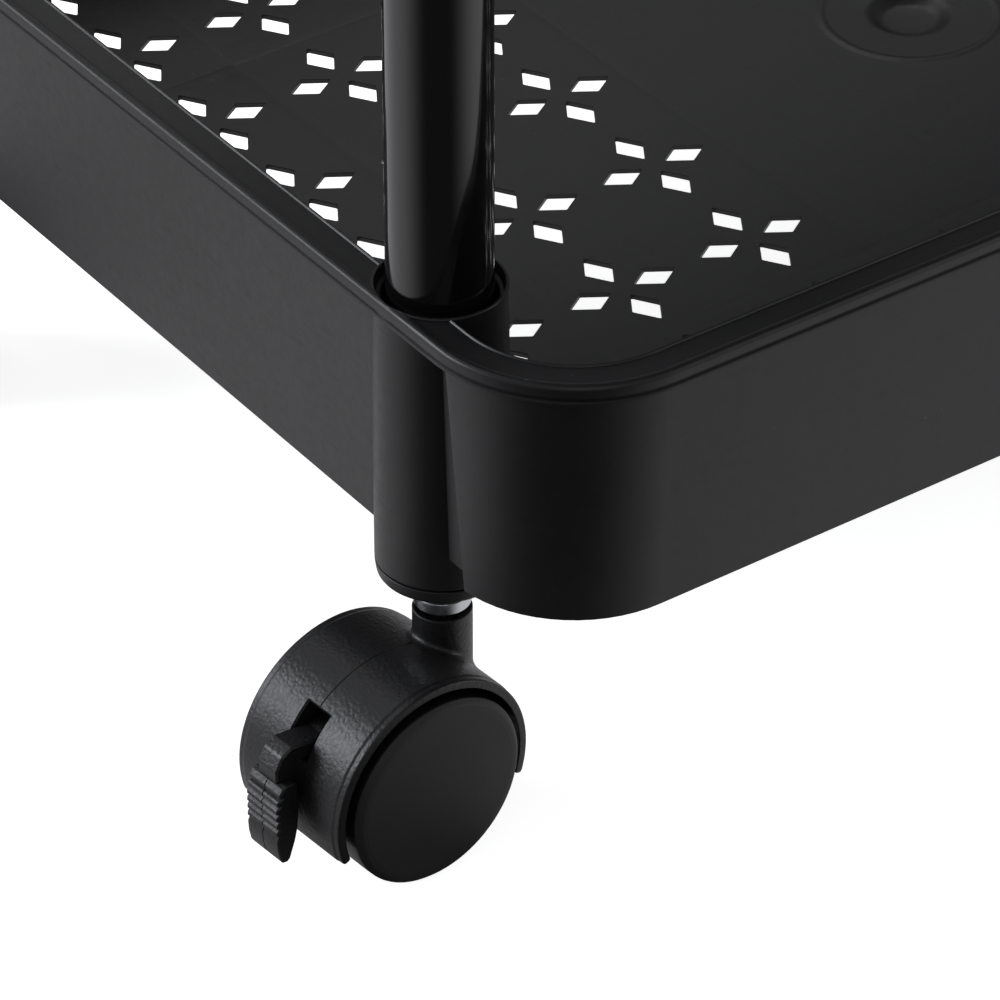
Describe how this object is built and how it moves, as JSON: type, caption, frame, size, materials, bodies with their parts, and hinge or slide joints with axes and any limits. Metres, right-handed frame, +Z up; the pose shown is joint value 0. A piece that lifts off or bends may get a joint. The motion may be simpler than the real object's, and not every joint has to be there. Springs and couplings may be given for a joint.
{
  "type": "rolling tray cart",
  "caption": "Rolling utility cart: moulded plastic trays with raised walls on tube posts, push handles and braked twin-wheel swivel casters.",
  "frame": {"origin": "on the floor under the middle of the trays", "axes": "+Z up, +X along the trays' long side, +Y towards the rear long side"},
  "size_m": [0.489, 0.296, 0.7503],
  "materials": {
    "tray_plastic": "satin black injection-moulded polypropylene",
    "post_paint": "high-gloss black enamel on steel tube",
    "fitting_plastic": "satin black moulded plastic",
    "hood_plastic": "fine leather-grain satin black nylon",
    "wheel_plastic": "fine-grained matte face with a polished tread",
    "zinc": "bright zinc plating",
    "steel": "plain drawn steel"
  },
  "bodies": {
    "frame": {"bottom_tray": "tray_plastic", "middle_tray": "tray_plastic", "top_tray": "tray_plastic", "lower_post_left_front": "post_paint", "upper_post_left_front": "post_paint", "middle_joiner_left_front": "fitting_plastic", "top_joiner_left_front": "fitting_plastic", "caster_socket_left_front": "fitting_plastic", "lower_post_left_rear": "post_paint", "upper_post_left_rear": "post_paint", "middle_joiner_left_rear": "fitting_plastic", "top_joiner_left_rear": "fitting_plastic", "caster_socket_left_rear": "fitting_plastic", "lower_post_right_front": "post_paint", "upper_post_right_front": "post_paint", "middle_joiner_right_front": "fitting_plastic", "top_joiner_right_front": "fitting_plastic", "caster_socket_right_front": "fitting_plastic", "lower_post_right_rear": "post_paint", "upper_post_right_rear": "post_paint", "middle_joiner_right_rear": "fitting_plastic", "top_joiner_right_rear": "fitting_plastic", "caster_socket_right_rear": "fitting_plastic", "handle_left": "post_paint", "handle_right": "post_paint", "caster_stem_left_front": "zinc", "caster_stem_left_rear": "zinc", "caster_stem_right_front": "zinc", "caster_stem_right_rear": "zinc"},
    "caster_left_front": {"caster_hood_left_front": "hood_plastic", "caster_axle_left_front": "steel", "brake_pin_left_front": "steel"},
    "wheel_a_body_left_front": {"wheel_a_left_front": "wheel_plastic"},
    "wheel_b_body_left_front": {"wheel_b_left_front": "wheel_plastic"},
    "brake_left_front": {"brake_lever_left_front": "hood_plastic"},
    "caster_left_rear": {"caster_hood_left_rear": "hood_plastic", "caster_axle_left_rear": "steel", "brake_pin_left_rear": "steel"},
    "wheel_a_body_left_rear": {"wheel_a_left_rear": "wheel_plastic"},
    "wheel_b_body_left_rear": {"wheel_b_left_rear": "wheel_plastic"},
    "brake_left_rear": {"brake_lever_left_rear": "hood_plastic"},
    "caster_right_front": {"caster_hood_right_front": "hood_plastic", "caster_axle_right_front": "steel", "brake_pin_right_front": "steel"},
    "wheel_a_body_right_front": {"wheel_a_right_front": "wheel_plastic"},
    "wheel_b_body_right_front": {"wheel_b_right_front": "wheel_plastic"},
    "brake_right_front": {"brake_lever_right_front": "hood_plastic"},
    "caster_right_rear": {"caster_hood_right_rear": "hood_plastic", "caster_axle_right_rear": "steel", "brake_pin_right_rear": "steel"},
    "wheel_a_body_right_rear": {"wheel_a_right_rear": "wheel_plastic"},
    "wheel_b_body_right_rear": {"wheel_b_right_rear": "wheel_plastic"},
    "brake_right_rear": {"brake_lever_right_rear": "hood_plastic"}
  },
  "joints": [
    {"name": "swivel_left_front", "type": "hinge", "parent": "frame", "child": "caster_left_front", "pos_m": [-0.1973, -0.0972, 0.03], "axis": [0, 0, 1], "continuous": true},
    {"name": "wheel_a_spin_left_front", "type": "hinge", "parent": "caster_left_front", "child": "wheel_a_body_left_front", "pos_m": [-0.21305, -0.09847, 0.0212], "axis": [0.0802, -0.9968, 0], "continuous": true},
    {"name": "wheel_b_spin_left_front", "type": "hinge", "parent": "caster_left_front", "child": "wheel_b_body_left_front", "pos_m": [-0.21305, -0.09847, 0.0212], "axis": [0.0802, -0.9968, 0], "continuous": true},
    {"name": "brake_left_front", "type": "hinge", "parent": "caster_left_front", "child": "brake_left_front", "pos_m": [-0.22102, -0.09911, 0.0332], "axis": [-0.0802, 0.9968, 0], "range_deg": [0, 20]},
    {"name": "swivel_left_rear", "type": "hinge", "parent": "frame", "child": "caster_left_rear", "pos_m": [-0.1973, 0.0972, 0.03], "axis": [0, 0, 1], "continuous": true},
    {"name": "wheel_a_spin_left_rear", "type": "hinge", "parent": "caster_left_rear", "child": "wheel_a_body_left_rear", "pos_m": [-0.21098, 0.1051, 0.0212], "axis": [-0.5, -0.866, 0], "continuous": true},
    {"name": "wheel_b_spin_left_rear", "type": "hinge", "parent": "caster_left_rear", "child": "wheel_b_body_left_rear", "pos_m": [-0.21098, 0.1051, 0.0212], "axis": [-0.5, -0.866, 0], "continuous": true},
    {"name": "brake_left_rear", "type": "hinge", "parent": "caster_left_rear", "child": "brake_left_rear", "pos_m": [-0.21791, 0.1091, 0.0332], "axis": [0.5, 0.866, 0], "range_deg": [0, 20]},
    {"name": "swivel_right_front", "type": "hinge", "parent": "frame", "child": "caster_right_front", "pos_m": [0.1973, -0.0972, 0.03], "axis": [0, 0, 1], "continuous": true},
    {"name": "wheel_a_spin_right_front", "type": "hinge", "parent": "caster_right_front", "child": "wheel_a_body_right_front", "pos_m": [0.21305, -0.09847, 0.0212], "axis": [0.0802, 0.9968, 0], "continuous": true},
    {"name": "wheel_b_spin_right_front", "type": "hinge", "parent": "caster_right_front", "child": "wheel_b_body_right_front", "pos_m": [0.21305, -0.09847, 0.0212], "axis": [0.0802, 0.9968, 0], "continuous": true},
    {"name": "brake_right_front", "type": "hinge", "parent": "caster_right_front", "child": "brake_right_front", "pos_m": [0.22102, -0.09911, 0.0332], "axis": [-0.0802, -0.9968, 0], "range_deg": [0, 20]},
    {"name": "swivel_right_rear", "type": "hinge", "parent": "frame", "child": "caster_right_rear", "pos_m": [0.1973, 0.0972, 0.03], "axis": [0, 0, 1], "continuous": true},
    {"name": "wheel_a_spin_right_rear", "type": "hinge", "parent": "caster_right_rear", "child": "wheel_a_body_right_rear", "pos_m": [0.21098, 0.1051, 0.0212], "axis": [-0.5, 0.866, 0], "continuous": true},
    {"name": "wheel_b_spin_right_rear", "type": "hinge", "parent": "caster_right_rear", "child": "wheel_b_body_right_rear", "pos_m": [0.21098, 0.1051, 0.0212], "axis": [-0.5, 0.866, 0], "continuous": true},
    {"name": "brake_right_rear", "type": "hinge", "parent": "caster_right_rear", "child": "brake_right_rear", "pos_m": [0.21791, 0.1091, 0.0332], "axis": [0.5, -0.866, 0], "range_deg": [0, 20]}
  ]
}
